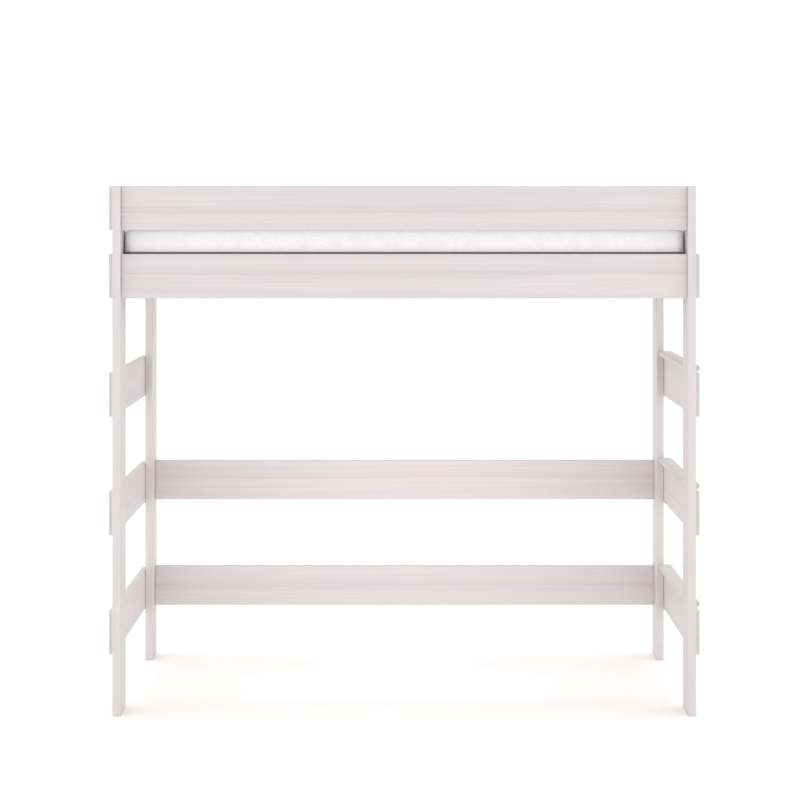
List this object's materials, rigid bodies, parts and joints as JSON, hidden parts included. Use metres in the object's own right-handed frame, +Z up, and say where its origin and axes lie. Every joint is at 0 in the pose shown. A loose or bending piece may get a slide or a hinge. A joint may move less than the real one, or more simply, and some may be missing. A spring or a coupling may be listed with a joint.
{
  "type": "loft bed",
  "caption": "High single loft bed in whitewashed pine: flat posts, long rails, end boards, ladder treads at one end, slatted base and a foam mattress.",
  "frame": {"origin": "on the floor, under the centre of the bed's overall length and depth", "axes": "+X along the bed towards the ladder end, +Y towards the wall side, +Z up"},
  "size_m": [2.128, 1.01, 1.883],
  "materials": {
    "pine": "satin",
    "raw_pine": "matte",
    "cover": "matte",
    "bolt_steel": "satin"
  },
  "bodies": {
    "frame": {"back_rail_lower": "pine", "back_rail_upper": "pine", "bolt_guard_back_left_1": "bolt_steel", "bolt_guard_back_left_2": "bolt_steel", "bolt_guard_back_right_1": "bolt_steel", "bolt_guard_back_right_2": "bolt_steel", "bolt_guard_front_left_1": "bolt_steel", "bolt_guard_front_left_2": "bolt_steel", "bolt_guard_front_right_1": "bolt_steel", "bolt_guard_front_right_2": "bolt_steel", "bolt_side_back_left_1": "bolt_steel", "bolt_side_back_left_2": "bolt_steel", "bolt_side_back_right_1": "bolt_steel", "bolt_side_back_right_2": "bolt_steel", "bolt_side_front_left_1": "bolt_steel", "bolt_side_front_left_2": "bolt_steel", "bolt_side_front_right_1": "bolt_steel", "bolt_side_front_right_2": "bolt_steel", "end_board_left_1": "pine", "end_board_left_2": "pine", "end_board_left_3": "pine", "end_board_left_4": "pine", "end_board_left_5": "pine", "end_board_right_1": "pine", "end_board_right_2": "pine", "end_board_right_3": "pine", "end_board_right_4": "pine", "guard_rail_back": "pine", "guard_rail_front": "pine", "post_back_left": "pine", "post_back_right": "pine", "post_front_left": "pine", "post_front_right": "pine", "side_rail_back": "pine", "side_rail_front": "pine", "slat_01": "raw_pine", "slat_02": "raw_pine", "slat_03": "raw_pine", "slat_04": "raw_pine", "slat_05": "raw_pine", "slat_06": "raw_pine", "slat_07": "raw_pine", "slat_08": "raw_pine", "slat_09": "raw_pine", "slat_10": "raw_pine", "slat_11": "raw_pine", "slat_12": "raw_pine", "slat_13": "raw_pine", "slat_14": "raw_pine", "slat_cleat_back": "raw_pine", "slat_cleat_front": "raw_pine", "tread_1": "pine", "tread_2": "pine", "tread_3": "pine"},
    "mattress": {"mattress": "cover"}
  },
  "joints": [
    {"name": "mattress_lift", "type": "slide", "parent": "frame", "child": "mattress", "axis": [0, 0, 1], "range_m": [0, 0.36]}
  ]
}
